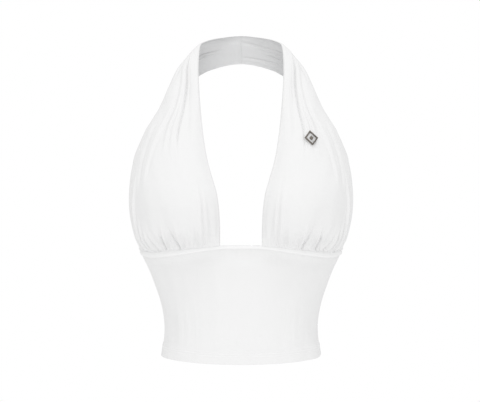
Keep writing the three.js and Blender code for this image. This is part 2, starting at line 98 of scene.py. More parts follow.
# Folds of a panel, counted in sections from the seam at 0, at shares of the way across from the
# plunge edge. Wide is half a fold's width and high is outwards, or inwards where it is negative.
# Sharp is 0 for a round fold and 1 for a crease.
# A gather starts at the seam, and foot is how far its foot turns towards the plunge.
Gather = namedtuple("Gather", "across to_across foot to_section wide high sharp")
GATHERS = [
    Gather(0.045, 0.050, 0.000, 3.0, 4.0, 0.6, 0.0),
    Gather(0.070, 0.100, 0.000, 3.0, 4.0, -0.8, 0.6),
    Gather(0.115, 0.105, 0.000, 3.8, 3.6, 1.0, 0.2),
    Gather(0.133, 0.125, 0.000, 3.8, 3.5, -1.1, 0.8),
    Gather(0.163, 0.140, 0.000, 4.6, 5.0, 1.5, 0.2),
    Gather(0.198, 0.188, 0.000, 1.7, 5.0, -2.4, 0.7),
    Gather(0.232, 0.235, 0.000, 1.4, 4.5, 1.0, 0.2),
    Gather(0.262, 0.265, 0.000, 1.2, 2.6, -0.9, 0.8),
    Gather(0.285, 0.295, 0.000, 1.2, 2.6, -0.9, 0.8),
    Gather(0.310, 0.345, 0.000, 1.7, 5.0, 4.6, 0.3),
    Gather(0.342, 0.400, 0.000, 1.5, 3.4, -4.2, 0.9),
    Gather(0.376, 0.432, 0.000, 2.7, 13.0, -2.4, 0.2),
    Gather(0.405, 0.415, 0.000, 1.1, 2.6, -0.8, 0.8),
    Gather(0.441, 0.447, 0.000, 1.5, 4.4, 4.4, 0.3),
    Gather(0.478, 0.468, 0.000, 1.2, 3.4, -4.2, 0.9),
    Gather(0.480, 0.440, 0.000, 2.8, 20.0, -1.7, 0.0),
    Gather(0.535, 0.578, 0.010, 2.0, 10.0, -2.9, 0.1),
    Gather(0.585, 0.612, 0.030, 1.4, 3.0, -3.6, 1.0),
    Gather(0.624, 0.640, 0.050, 1.6, 3.8, 3.2, 0.3),
    Gather(0.650, 0.664, 0.054, 2.2, 3.4, -3.0, 0.7),
    Gather(0.678, 0.695, 0.058, 2.3, 3.8, 2.8, 0.3),
    Gather(0.706, 0.715, 0.060, 2.8, 3.2, -2.2, 0.7),
    Gather(0.736, 0.722, 0.064, 5.4, 5.5, 4.2, 0.5),
    Gather(0.768, 0.765, 0.068, 5.8, 5.5, -6.0, 0.4),
    Gather(0.810, 0.815, 0.068, 5.6, 8.0, -2.4, 0.2),
    Gather(0.890, 0.900, 0.050, 4.8, 8.0, 1.0, 0.0),
]
FOOT_REACH = 0.3 # in sections
# the seam holds the foot of each gather flatter
SEWN_SHARE = 0.35
SEWN_REACH = 0.12

# A crease runs from one section to another, with a bow in the middle of its run
Crease = namedtuple("Crease", "across to_across bow section to_section wide high sharp")
CREASES = [
    # from the side of the cup up towards the shoulder
    Crease(0.735, 0.760, 0.000, 3.0, 5.8, 3.2, -1.3, 0.8),
    Crease(0.650, 0.675, 0.000, 3.0, 6.8, 7.0, -1.7, 0.4),
    Crease(0.585, 0.540, 0.010, 2.8, 7.6, 6.0, 1.0, 0.1),
    Crease(0.560, 0.495, 0.000, 3.6, 7.4, 5.0, -0.6, 0.5),
    # the pleat over the front of the shoulder: a sharp crease and the rolls beside it
    Crease(0.275, 0.210, 0.075, 4.7, 10.3, 3.0, -2.6, 1.0),
    Crease(0.250, 0.195, 0.030, 6.8, 10.3, 3.0, 1.1, 0.2),
    Crease(0.335, 0.290, 0.062, 4.7, 10.0, 4.8, 1.7, 0.2),
    Crease(0.372, 0.310, 0.062, 5.2, 9.4, 2.6, -0.5, 0.8),
    Crease(0.405, 0.330, 0.068, 4.6, 9.8, 4.6, 1.8, 0.2),
    Crease(0.480, 0.400, 0.050, 5.0, 9.6, 7.0, -1.3, 0.3),
    # along the plunge edge
    Crease(0.150, 0.150, 0.020, 5.4, 9.8, 7.0, -1.2, 0.2),
    Crease(0.060, 0.060, 0.000, 6.4, 10.2, 4.0, 0.6, 0.0),
    # where the strap turns over the shoulder
    Crease(0.640, 0.260, 0.000, 8.3, 10.2, 5.0, -1.9, 0.6),
]
# The strap's own folds behind the neck, which differ from side to side
STRAP_FOLDS = {
    "left": [
        Crease(0.440, 0.468, 0.000, 10.4, 12.5, 3.0, 2.3, 0.9),
        Crease(0.495, 0.510, 0.000, 10.4, 12.3, 3.0, -1.0, 0.5),
        Crease(0.530, 0.560, 0.000, 10.4, 12.2, 2.6, 1.8, 0.9),
        Crease(0.120, 0.175, 0.000, 10.3, 13.2, 6.0, 2.0, 0.3),
    ],
    "right": [
        Crease(0.340, 0.130, 0.135, 10.8, 13.3, 4.0, 1.6, 0.5),
        Crease(0.590, 0.605, 0.000, 10.6, 12.4, 3.0, 1.5, 0.6),
        Crease(0.700, 0.755, 0.050, 10.8, 13.2, 3.4, 1.2, 0.4),
        Crease(0.420, 0.320, 0.060, 10.6, 12.8, 5.0, -1.0, 0.2),
    ],
}

# Waves too small for the solids: how long each is across the cloth, how high, and its start
Wave = namedtuple("Wave", "long high start")
PUCKERS = [Wave(3.6, 0.10, 0.4), Wave(5.1, 0.16, 2.1), Wave(7.3, 0.20, 4.0)]
UNEVENNESS = [Wave(23, 0.10, 0.7), Wave(37, 0.18, 3.1), Wave(61, 0.26, 5.2)]
PUCKER_REACH = 9 # how far the puckers run from a seam
FOOT_PUFF = 1.7
PUFF_REACH = 5
RIDGE_RISE = 3
TUCK = 1.4 # how far a sheet's edge reaches into the piping, where it is sewn

# Camera: level, straight in front, with the garment's own middle at the photo's column 241
CAMERA_PLACE = (0, -2.085, -0.228)
FOCAL_LENGTH = 103.45 # on a frame 36 mm wide
IMAGE_WIDTH = 480
MIDDLE_COLUMN = 241


def smooth_step(t):
    s = np.clip(t, 0, 1)
    return s * s * (3 - 2 * s)


def bell(distance, reach):
    return np.exp(-((distance / reach) ** 2))


def column(table, name):
    return np.array([getattr(row, name) for row in table], float)


def hermite(t, span, low, low_slope, high, high_slope):
    t2 = t * t
    t3 = t2 * t
    start = (2 * t3 - 3 * t2 + 1) * low + (t3 - 2 * t2 + t) * span * low_slope
    end = (3 * t2 - 2 * t3) * high + (t3 - t2) * span * high_slope
    return start + end


def slopes(places, values):
    last = len(places) - 1
    below = np.maximum(np.arange(last + 1) - 1, 0)
    above = np.minimum(np.arange(last + 1) + 1, last)
    spread = (places[above] - places[below]).reshape((-1,) + (1,) * (values.ndim - 1))
    return (values[above] - values[below]) / spread


def find_span(places, at):
    """The place below, how far on to the next one, and the distance between the two."""
    k = np.clip(np.searchsorted(places, at, side="right") - 1, 0, len(places) - 2)
    span = places[k + 1] - places[k]
    return k, (at - places[k]) / span, span


def through(places, values, at):
    """A smooth curve through the values at rising places."""
    slope = slopes(places, values)
    k, t, span = find_span(places, np.asarray(at, float))
    return hermite(t, span, values[k], slope[k], values[k + 1], slope[k + 1])


def unit(vectors):
    return vectors / np.linalg.norm(vectors, axis=-1, keepdims=True)


# The figure. A turn runs from 0 at the left side by 90 at the middle front and 180 at the right
# side to 360.
def seam_angle(turn):
    return np.where(turn <= 90, turn, np.where(turn <= 270, 180 - turn, turn - 360))


def seam_height(turn):
    return through(column(SEAM, "angle"), column(SEAM, "z"), seam_angle(turn))


def piping_height(turn):
    return through(column(SEAM, "angle"), column(SEAM, "piping"), seam_angle(turn))


def hem_height(turn):
    middle = np.where(turn < 180, HEM_FRONT, HEM_BACK)
    return HEM_SIDE + (middle - HEM_SIDE) * np.sin(np.radians(turn)) ** 2


def ring_points(turn, z):
    heights = column(RINGS, "z")
    names = ("half", "front", "back")
    half, front, back = (through(heights, column(RINGS, name), z) for name in names)
    a = np.radians(turn)
    fill = 1 - SQUARENESS
    x = -half * (np.cos(a) - SQUARENESS * np.cos(3 * a)) / fill
    forward = (back - front) / 2 * (np.sin(a) + SQUARENESS * np.sin(3 * a)) / fill
    return np.stack([x, (front + back) / 2 - forward, z + 0 * x], -1)


def ring_normals(turn, z):
    """Outwards from the figure and level."""
    round_way = ring_points(turn + 0.5, z) - ring_points(turn - 0.5, z)
    return unit(np.cross(round_way, (0, 0, 1)))


# The halter panel
def seam_section(t):
    turn = PLUNGE_ANGLE + (SIDE_SEAM_ANGLE - PLUNGE_ANGLE) * t
    return ring_points(turn, seam_height(turn) + piping_height(turn) / 2 + SEAM_GAP)


def section_curve(section):
    ends = [np.array(p, float) for p in section[1:]]

    def curve(t):
        s = t[:, None]
        low, rising, falling, high = (1 - s) ** 3, 3 * (1 - s) ** 2 * s, 3 * (1 - s) * s * s, s**3
        return low * ends[0] + rising * ends[1] + falling * ends[2] + high * ends[3]

    return curve


CURVES = [seam_section] + [section_curve(s) for s in SECTIONS]


SAMPLES = 400


def even_points(curve):
    """Points at even shares of a curve's length, and that length."""
    steps = np.linspace(0, 1, SAMPLES + 1)
    lengths = np.linalg.norm(np.diff(curve(steps), axis=0), axis=1)
    run = np.concatenate([[0], np.cumsum(lengths)])
    return curve(np.interp(steps * run[-1], run, steps)), run[-1]


EVEN_CURVES = [even_points(curve) for curve in CURVES]
ROWS = np.array([points for points, length in EVEN_CURVES])
# one more row beyond the neck seam, the mirror of the last but one
ROWS = np.concatenate([ROWS, ROWS[-2:-1] * (-1, 1, 1)])
SECTION_LENGTHS = np.array([length for points, length in EVEN_CURVES + EVEN_CURVES[-2:-1]])
SECTION_COUNT = np.arange(len(ROWS), dtype=float)
# how far up the cloth each section lies
RISES = np.linalg.norm(np.diff(ROWS[:, :: SAMPLES // 20], axis=0), axis=2).mean(axis=1)
SECTION_PLACES = np.concatenate([[0], np.cumsum(RISES)])
STRAP_END = SECTION_PLACES[-2]
ROW_SLOPES = slopes(SECTION_PLACES, ROWS)


def panel_points(across, place):
    """The left panel's face before its folds, by the share across and the place up the cloth."""
    across, place = np.broadcast_arrays(across, place)
    k, t, span = find_span(SECTION_PLACES, place)
    i = np.clip((across * SAMPLES).astype(int), 0, SAMPLES - 1)
    on = (across * SAMPLES - i)[..., None]

    def at(table, row):
        return table[row, i] * (1 - on) + table[row, i + 1] * on

    t, span = t[..., None], span[..., None]
    low, low_slope = at(ROWS, k), at(ROW_SLOPES, k)
    high, high_slope = at(ROWS, k + 1), at(ROW_SLOPES, k + 1)
    return hermite(t, span, low, low_slope, high, high_slope)


def panel_normals(across, place):
    """Outwards from the panel. At the seam they are level, so that its foot stays on the seam."""
    aside, along = 0.004, 1.0
    across_way = panel_points(np.minimum(across + aside, 1), place)
    across_way = across_way - panel_points(np.maximum(across - aside, 0), place)
    up_way = panel_points(across, np.minimum(place + along, STRAP_END))
    up_way = up_way - panel_points(across, np.maximum(place - along, 0))
    normals = np.cross(up_way, across_way)
    normals[..., 2] *= smooth_step(np.broadcast_to(place, normals.shape[:-1]) / 15)
    return unit(normals)


def section_at(place):
    return np.interp(place, SECTION_PLACES, SECTION_COUNT)


def panel_width(place):
    return through(SECTION_COUNT, SECTION_LENGTHS, section_at(place))


def fold_profile(aside, sharp):
    """A fold across itself, from 1 in its middle to 0 at its side."""
    aside = np.minimum(aside, 1)
    return (1 - sharp) * (1 + np.cos(np.pi * aside)) / 2 + sharp * (1 - aside) ** 2


def gather_height(fold, across, section, width):
    run = section / fold.to_section
    middle = fold.across + (fold.to_across - fold.across) * run - fold.foot * np.exp(-section / FOOT_REACH)
    sewn = SEWN_SHARE + (1 - SEWN_SHARE) * smooth_step(section / SEWN_REACH)
    strength = fold.high * sewn * smooth_step((1 - run) / 0.75)
    return strength * fold_profile(np.abs(across - middle) * width / fold.wide, fold.sharp)


def crease_height(fold, across, section, width):
    run = (section - fold.section) / (fold.to_section - fold.section)
    on_run = (run >= 0) & (run <= 1)
    middle = fold.across + (fold.to_across - fold.across) * run + fold.bow * 4 * run * (1 - run)
    strength = fold.high * smooth_step(run / 0.25) * smooth_step((1 - run) / 0.3) * on_run
    return strength * fold_profile(np.abs(across - middle) * width / fold.wide, fold.sharp)


def waves(table, across_mm, up_mm, slant):
    """Small waves across the cloth that wander as they run up it."""
    total = 0
    for wave in table:
        wander = slant * np.sin(up_mm / (4 * wave.long) + wave.start)
        total = total + wave.high * np.sin(2 * np.pi * (across_mm / wave.long + wander) + wave.start)
    return total


def panel_folds(side, across, place):
    """How far the panel's face stands outside its smooth form."""
    section = section_at(np.maximum(place, 0))
    width = panel_width(place)
    total = sum(gather_height(fold, across, section, width) for fold in GATHERS)
    # the piping holds the gathers' ridges level with its own face, and leaves their valleys
    total = np.minimum(total, 0) + np.maximum(total, 0) * smooth_step(place / RIDGE_RISE)
    for fold in CREASES + STRAP_FOLDS[side]:
        total = total + crease_height(fold, across, section, width)
    across_mm = across * width
    near_seam = np.exp(-np.maximum(place, 0) / PUCKER_REACH)
    total = total + waves(PUCKERS, across_mm, place, 0.1) * near_seam
    total = total + waves(UNEVENNESS, across_mm, place, 0.5) * smooth_step(place / 40)
    # the two turned edges roll in, and the strap's two ends pull in at their seam
    edge = np.minimum(across, 1 - across) * width
    total = total + 0.35 * bell(edge - 3, 2.5) - 0.9 * np.maximum(1 - edge / 1.8, 0) ** 2
    total = total - 0.4 * np.maximum(1 - np.abs(STRAP_END - place) / 1.6, 0) ** 2
    # the gathered foot puffs out over the piping
    return total + FOOT_PUFF * np.exp(-np.maximum(place, 0) / PUFF_REACH)


# Sheets of cloth
def new_grid(name, columns, rows):
    bpy.ops.object.select_all(action="DESELECT")
    bpy.ops.mesh.primitive_grid_add(x_subdivisions=columns, y_subdivisions=rows, size=2)
    sheet = bpy.context.object
    sheet.name = name
    sheet.data.name = name
    return sheet


def lay_grid(mesh, points, cloth_uv):
    """Move a new grid's vertices to points, in rows and columns, and give it a UV map in metres."""
    rows, columns = points.shape[0] - 1, points.shape[1] - 1
    flat = np.empty(len(mesh.vertices) * 3)
    mesh.vertices.foreach_get("co", flat)
    across = np.rint((flat[0::3] + 1) / 2 * columns).astype(int)
    up = np.rint((flat[1::3] + 1) / 2 * rows).astype(int)
    mesh.vertices.foreach_set("co", (points[up, across] * MM).ravel())
    corners = np.empty(len(mesh.loops), int)
    mesh.loops.foreach_get("vertex_index", corners)
    mesh.uv_layers[0].name = "cloth"
    mesh.uv_layers[0].data.foreach_set("uv", (cloth_uv[up, across] * MM)[corners].ravel())
    return across, up


def make_sheet(name, outer, inner, cloth_uv, material):
    """A sheet of cloth from its outer and inner face, in rows from its foot and columns to the
    right as it is seen from outside."""
    sheet = new_grid(name, outer.shape[1] - 1, outer.shape[0] - 1)
    mesh = sheet.data
    across, up = lay_grid(mesh, outer, cloth_uv)
    solidify = sheet.modifiers.new("two layers", "SOLIDIFY")
    solidify.thickness = CLOTH * MM
    solidify.offset = -1
    bpy.ops.object.modifier_apply(modifier=solidify.name)
    # the inner face lies square to the smooth form, so that it never crosses itself in a crease
    places = np.empty(len(mesh.vertices) * 3)
    mesh.vertices.foreach_get("co", places)
    places = places.reshape(-1, 3)
    count = len(across)
    places[count:] = inner[up, across] * MM
    mesh.vertices.foreach_set("co", places.ravel())
    # the inner face is marked, so that the jersey material can paint it darker: painted shade inside the
    # garment
    inside = mesh.attributes.new("inside", "FLOAT", "POINT")
    inside.data.foreach_set("value", np.arange(len(mesh.vertices)) >= count)
    mesh.update()
    bpy.ops.object.shade_smooth()
    mesh.materials.append(material)
    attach(sheet, "root")
    return sheet


HALTER_COLUMNS = 196
HALTER_ROWS = 216
EDGE_SHARES = [0, 0.003, 0.007, 0.012] # columns lie closer together at the turned edges
SEAM_CROWDING = 1.45 # and rows near the seam


def halter(side, material):
    middle = np.linspace(0.018, 0.982, HALTER_COLUMNS)
    share = np.concatenate([EDGE_SHARES, middle, 1 - np.array(EDGE_SHARES[::-1])])
    if side == "left":
        share = share[::-1]
    place = (STRAP_END + TUCK) * np.linspace(0, 1, HALTER_ROWS + 1) ** SEAM_CROWDING - TUCK
    place = np.append(place, STRAP_END + 0.15)[:, None]
    smooth = panel_points(share, place)
    normals = panel_normals(share, place)
    folds = panel_folds(side, share, place)
    depth = CLOTH + 0 * folds
    if side == "left":
        allowance = STRAP_END - NECK_SEAM_ALLOWANCE
        depth = depth + ALLOWANCE_THICK * smooth_step((place - allowance + 0.6) / 1.2)
    outer = smooth + normals * folds[..., None]
    inner = smooth + normals * (folds - depth)[..., None]
    if side == "right":
        outer = outer * (-1, 1, 1)
        inner = inner * (-1, 1, 1)
    width = panel_width(place)
    across_mm, up_mm = np.broadcast_arrays(share * width, place)
    cloth_uv = np.stack([across_mm, up_mm], -1)
    sheet = make_sheet(f"halter_{side}_cloth", outer, inner, cloth_uv, material)
    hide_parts(f"halter_{side}")
    return sheet


HEM_ROWS = 40
MIDRIFF_ROWS = 70
HEM_ZONE = 24 # the foot of the midriff, where rows lie closer together
STITCH_LINES = (14.4, 11.2) # above the hem's foot
SEAM_HOLLOW = 2.2 # the stretched cloth draws in below the piping
HOLLOW_DROP = 8
HOLLOW_REACH = 9


def hem_profile(up):
    """How far the turned hem stands outside the midriff, by the height above its foot."""
    proud = HEM_PROUD * (1 - smooth_step((up - HEM_DEPTH + 2.4) / 3.4))
    ridge = 0.6 * bell(up - HEM_DEPTH + 0.8, 2.2)
    stitch_rows = -0.22 * sum(bell(up - line, 0.8) for line in STITCH_LINES)
    return proud + ridge + stitch_rows - 0.7 * np.maximum(1 - up / 1.8, 0) ** 2


def midriff_top(turn):
    return seam_height(turn) - piping_height(turn) / 2 - SEAM_GAP


# Soft upright streaks and hollows of the front, by the angle from the side: wide is half the width
Streak = namedtuple("Streak", "angle z wide tall high")
STREAKS = [
    Streak(31, -402, 13, 20, -1.1),
    Streak(41, -404, 2.4, 24, 0.2),
    Streak(46.5, -405, 2.0, 22, -0.4),
    Streak(50, -402, 2.2, 28, 0.3),
    Streak(53.5, -404, 2.0, 24, -0.35),
    Streak(58, -398, 2.6, 30, 0.3),
    Streak(35, -330, 14, 16, -0.9),
    Streak(56, -322, 16, 12, -0.8),
    Streak(77.5, -417, 2.0, 1.6, -0.5),
    Streak(90, -333, 150, 30, -1.2),
    Streak(26, -452, 22, 24, 1.8),
]


def midriff_face(turn, z, is_front):
    """How far the midriff's face stands outside the smooth figure."""
    up = z - hem_height(turn)
    below_seam = midriff_top(turn) - z
    round_mm = np.radians(turn) * 125
    total = hem_profile(up)
    near_seam = np.exp(-np.maximum(below_seam, 0) / PUCKER_REACH)
    total = total + waves(PUCKERS, round_mm, z, 0.1) * near_seam
    from_side = 90 - np.abs(turn % 180 - 90)
    hollow = SEAM_HOLLOW * smooth_step((from_side - 8) / 25)
    total = total - hollow * bell(below_seam - HOLLOW_DROP, HOLLOW_REACH)
    total = total + waves(UNEVENNESS, round_mm, z, 0.4) * smooth_step(below_seam / 30) * 0.8
    total = total + waves(PUCKERS[1:], round_mm, z, 0.05) * bell(up - 13, 4) * 0.35
    if is_front:
        for streak in STREAKS:
            aside = np.radians(from_side - streak.angle) * 120
            total = total + streak.high * bell(aside, streak.wide) * bell(z - streak.z, streak.tall)
    # the side seams pull in
    return total - 0.6 * np.maximum(1 - np.radians(from_side) * 125 / 2.0, 0) ** 2


def midriff(name, from_turn, to_turn, columns, material):
    turn = np.linspace(from_turn, to_turn, columns + 1)
    foot, top = hem_height(turn), midriff_top(turn) + TUCK
    hem = foot + np.linspace(0, HEM_ZONE, HEM_ROWS, endpoint=False)[:, None]
    body = foot + HEM_ZONE + (top - foot - HEM_ZONE) * np.linspace(0, 1, MIDRIFF_ROWS + 1)[:, None]
    z = np.concatenate([hem, body])
    turns = np.broadcast_to(turn, z.shape)
    smooth = ring_points(turns, z)
    normals = ring_normals(turns, z)
    face = midriff_face(turns, z, from_turn < 90)
    outer = smooth + normals * face[..., None]
    inner = smooth + normals * (np.minimum(face, 0.3) - CLOTH)[..., None]
    steps = np.linalg.norm(np.diff(smooth, axis=1), axis=2)
    across_mm = np.concatenate([np.zeros((len(z), 1)), np.cumsum(steps, axis=1)], axis=1)
    sheet = make_sheet(f"{name}_cloth", outer, inner, np.stack([across_mm, z], -1), material)
    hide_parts(name)
    widths = across_mm[:, -1] * MM
    height = float((z[-1] - z[0]).mean() + HEM_DEPTH) * MM
    return sheet, (float(widths.max()), height), float(widths.mean()) * height


PIPING_SIDES = 20
PIPING_SQUARENESS = 0.8 # 1 is an ellipse, and less is squarer
PIPING_LAP = 0.6 # how far it laps over the cloth above and below it


def piping(name, from_turn, to_turn, columns, material):
    """A roll of cloth along the seam: a grid wrapped round and closed at both ends."""
    turn = np.linspace(from_turn, to_turn, columns + 1)
    middle = ring_points(turn, seam_height(turn))
    out = ring_normals(turn, seam_height(turn))
    angle = np.linspace(0, 2 * np.pi, PIPING_SIDES + 1)[:, None]
    round_mm = np.radians(turn) * 150
    swell = 0.03 * np.sin(2 * np.pi * round_mm / 6.7) + 0.03 * np.sin(2 * np.pi * round_mm / 4.3 + 1)
    out_share = np.sign(np.cos(angle)) * np.abs(np.cos(angle)) ** PIPING_SQUARENESS
    up_share = np.sign(np.sin(angle)) * np.abs(np.sin(angle)) ** PIPING_SQUARENESS
    out_mm = out_share * PIPING_THICK / 2 * (1 + swell) - PIPING_SET_IN
    up_mm = up_share * (piping_height(turn) / 2 + PIPING_LAP)
    points = middle + out * out_mm[..., None] + np.array((0, 0, 1)) * up_mm[..., None]
    girth = np.broadcast_to(angle * 2.4, up_mm.shape)
    roll = new_grid(f"{name}_roll", columns, PIPING_SIDES)
    mesh = roll.data
    lay_grid(mesh, points, np.stack([np.broadcast_to(round_mm, up_mm.shape), girth], -1))
    bpy.ops.object.mode_set(mode="EDIT")
    bpy.ops.mesh.select_all(action="SELECT")
    bpy.ops.mesh.remove_doubles(threshold=0.01 * MM)
    bpy.ops.mesh.fill_holes(sides=0)
    bpy.ops.mesh.normals_make_consistent(inside=False)
    bpy.ops.object.mode_set(mode="OBJECT")
    bpy.ops.object.shade_smooth()
    mesh.attributes.new("inside", "FLOAT", "POINT")
    mesh.materials.append(material)
    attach(roll, "root")
    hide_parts(name)
    return roll


STITCH_LONG = 2.3
STITCH_PITCH = 3.0
STITCH_THICK = 0.42


def one_stitch():
    """The corners and faces of one stitch along X, with +Z out of the cloth, in millimetres."""
    bpy.ops.object.select_all(action="DESELECT")
    bpy.ops.mesh.primitive_cylinder_add(vertices=6, radius=STITCH_THICK / 2, depth=STITCH_LONG)
    stitch = bpy.context.object
    stitch.rotation_euler = (0, radians(90), 0)
    bpy.ops.object.transform_apply(location=False, rotation=True, scale=False)
    bevel = stitch.modifiers.new("sunk ends", "BEVEL")
    bevel.width = STITCH_THICK * 0.3
    bevel.limit_method = "ANGLE"
    bevel.angle_limit = radians(70)
    bpy.ops.object.modifier_apply(modifier=bevel.name)
    mesh = stitch.data
    corners = np.array([v.co[:] for v in mesh.vertices])
    faces = [list(p.vertices) for p in mesh.polygons]
    bpy.data.objects.remove(stitch)
    bpy.data.meshes.remove(mesh)
    return corners, faces


def hem_stitches(name, from_turn, to_turn, material):
    """Two rows of stitches along the hem, each stitch laid on the midriff's face."""
    corners, faces = one_stitch()
    fine = np.linspace(from_turn, to_turn, 721)
    turns, heights = [], []
    for up in STITCH_LINES:
        line = ring_points(fine, hem_height(fine) + up)
        run = np.concatenate([[0], np.cumsum(np.linalg.norm(np.diff(line, axis=0), axis=1))])
        middles = np.arange(STITCH_PITCH, run[-1] - STITCH_PITCH / 2, STITCH_PITCH)
        turn = np.interp(middles, run, fine)
        turns.append(turn)
        heights.append(hem_height(turn) + up)
    turn, z = np.concatenate(turns), np.concatenate(heights)
    out = ring_normals(turn, z)
    along = unit(ring_points(turn + 0.5, z) - ring_points(turn - 0.5, z))
    stand = midriff_face(turn, z, from_turn < 90) + STITCH_THICK * 0.1
    middle = ring_points(turn, z) + out * stand[:, None]
    frames = np.stack([along, np.cross(out, along), out], axis=1)
    places = middle[:, None] + corners @ frames
    first = np.arange(len(turn)) * len(corners)
    all_faces = [[start + v for v in face] for start in first.tolist() for face in faces]
    mesh = bpy.data.meshes.new(name)
    mesh.from_pydata((places.reshape(-1, 3) * MM).tolist(), [], all_faces)
    stitches = bpy.data.objects.new(name, mesh)
    bpy.context.collection.objects.link(stitches)
    mesh.materials.append(material)
    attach(stitches, "root")
    return stitches


# The ornament
ORNAMENT_ACROSS = 0.372
ORNAMENT_SECTION = 5.62
LOZENGE_HALF_WIDTH = 9.5
LOZENGE_HALF_HEIGHT = 12.5
LOZENGE_BAND = 1.9
CENTRE_HALF_WIDTH = 2.8
CENTRE_HALF_HEIGHT = 3.8
ORNAMENT_THICK = 1.6


def over_panel(flat):
    """Points over the right panel, from their places right of, above and out of the ornament's
    middle."""
    across = np.array([ORNAMENT_ACROSS])
    place = np.interp([ORNAMENT_SECTION], SECTION_COUNT, SECTION_PLACES)
    middle = panel_points(across, place)[0]
    across_way = (panel_points(across + 0.01, place)[0] - middle) * 100
    up_way = panel_points(across, place + 1)[0] - middle
    normal = panel_normals(across, place)[0]
    level = unit(np.cross((0, 0, 1), normal))
    upright = unit(np.cross(normal, level))
    spread = np.array([[across_way @ level, up_way @ level], [across_way @ upright, up_way @ upright]])
    shift = np.linalg.solve(spread, (flat[:, :2] * (-1, 1)).T)
    at, along = across + shift[0], place + shift[1]
    # the plate is stiff, so it rests on the highest of the cloth under it
    height = panel_folds("right", at, along).max() + SEAM_GAP + flat[:, 2]
    points = panel_points(at, along) + panel_normals(at, along) * height[:, None]
    return points * (-1, 1, 1)


def lozenge(name, half_width, half_height, band, material):
    """A lozenge plate, open inside its band, modelled flat and then laid on the panel."""
    bpy.ops.object.select_all(action="DESELECT")
    bpy.ops.mesh.primitive_circle_add(vertices=4, radius=1, fill_type="NGON")
    plate = bpy.context.object
    plate.name = name
    plate.data.name = name
    plate.scale = (half_width, half_height, 1)
    bpy.ops.object.transform_apply(location=False, rotation=False, scale=True)
    bpy.ops.object.mode_set(mode="EDIT")
    bpy.ops.mesh.select_all(action="SELECT")
    if band:
        bpy.ops.mesh.inset(thickness=band, depth=0, use_even_offset=True)
        bpy.ops.mesh.delete(type="FACE")
        bpy.ops.mesh.select_all(action="SELECT")
    bpy.ops.mesh.subdivide(number_cuts=5)
    bpy.ops.mesh.extrude_region_move(TRANSFORM_OT_translate={"value": (0, 0, ORNAMENT_THICK)})
    bpy.ops.mesh.select_all(action="SELECT")
    bpy.ops.mesh.normals_make_consistent(inside=False)
    bpy.ops.object.mode_set(mode="OBJECT")
    bevel = plate.modifiers.new("worn edges", "BEVEL")
    bevel.width = 0.4
    bevel.segments = 3
    bevel.limit_method = "ANGLE"
    bevel.angle_limit = radians(50)
    bpy.ops.object.modifier_apply(modifier=bevel.name)
    bpy.ops.object.shade_smooth_by_angle(angle=radians(35))
    mesh = plate.data
    flat = np.empty(len(mesh.vertices) * 3)
    mesh.vertices.foreach_get("co", flat)
    mesh.vertices.foreach_set("co", (over_panel(flat.reshape(-1, 3)) * MM).ravel())
    mesh.update()
    mesh.materials.append(material)
    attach(plate, "root")
    return plate


# Materials
def new_group(name, inputs, outputs):
    group = bpy.data.node_groups.new(name, "ShaderNodeTree")
    for socket, kind, value in inputs:
        made = group.interface.new_socket(socket, in_out="INPUT", socket_type=kind)
        if value is not None:
            made.default_value = value
    for socket, kind in outputs:
        group.interface.new_socket(socket, in_out="OUTPUT", socket_type=kind)
    into = group.nodes.new("NodeGroupInput")
    out = group.nodes.new("NodeGroupOutput")
    return group, into, out


def math_node(tree, operation, first, second=None):
    node = tree.nodes.new("ShaderNodeMath")
    node.operation = operation
    for socket, value in zip(node.inputs, (first, second)):
        if isinstance(value, (int, float)):
            socket.default_value = value
        elif value is not None:
            tree.links.new(value, socket)
    return node.outputs[0]


def knit_group():
    """Columns of knit loops: a height for the bump, and a painted shade that darkens the colour between the
    loops.
    """
    group, into, out = new_group(
        "jersey knit",
        [
            ("Cloth", "NodeSocketVector", None),
            ("Wale", "NodeSocketFloat", 0.5),
            ("Course", "NodeSocketFloat", 0.42),
        ],
        [("Height", "NodeSocketFloat"), ("Painted Shade", "NodeSocketFloat")],
    )
    split = group.nodes.new("ShaderNodeSeparateXYZ")
    group.links.new(into.outputs["Cloth"], split.inputs[0])
    across_mm = math_node(group, "DIVIDE", split.outputs[0], MM)
    up_mm = math_node(group, "DIVIDE", split.outputs[1], MM)
    wales = math_node(group, "DIVIDE", across_mm, into.outputs["Wale"])
    courses = math_node(group, "DIVIDE", up_mm, into.outputs["Course"])
    in_wale = math_node(group, "PINGPONG", wales, 0.5)
    # each loop's two legs lean towards the middle of its column
    leaning = math_node(group, "ADD", courses, math_node(group, "MULTIPLY", in_wale, 1.2))
    legs = math_node(group, "SINE", math_node(group, "MULTIPLY", leaning, 2 * np.pi))
    crown = math_node(group, "SINE", math_node(group, "MULTIPLY", in_wale, np.pi))
    wavy = math_node(group, "ADD", 0.75, math_node(group, "MULTIPLY", legs, 0.25))
    height = math_node(group, "MULTIPLY", crown, wavy)
    group.links.new(height, out.inputs["Height"])
    # painted shade: the colour darkens where the loops sink
    painted_loop_shade = math_node(group, "ADD", 0.9, math_node(group, "MULTIPLY", height, 0.1))
    group.links.new(painted_loop_shade, out.inputs["Painted Shade"])
    return group


def new_material(name):
    material = bpy.data.materials.new(name)
    material.use_nodes = True
    return material, material.node_tree, material.node_tree.nodes["Principled BSDF"]


def mixed_color(tree, factor, low, high, blend="MIX"):
    node = tree.nodes.new("ShaderNodeMix")
    node.data_type = "RGBA"
    node.blend_type = blend
    for socket, value in ((node.inputs[0], factor), (node.inputs[6], low), (node.inputs[7], high)):
        if hasattr(value, "is_output"):
            tree.links.new(value, socket)
        else:
            socket.default_value = value
    return node.outputs[2]


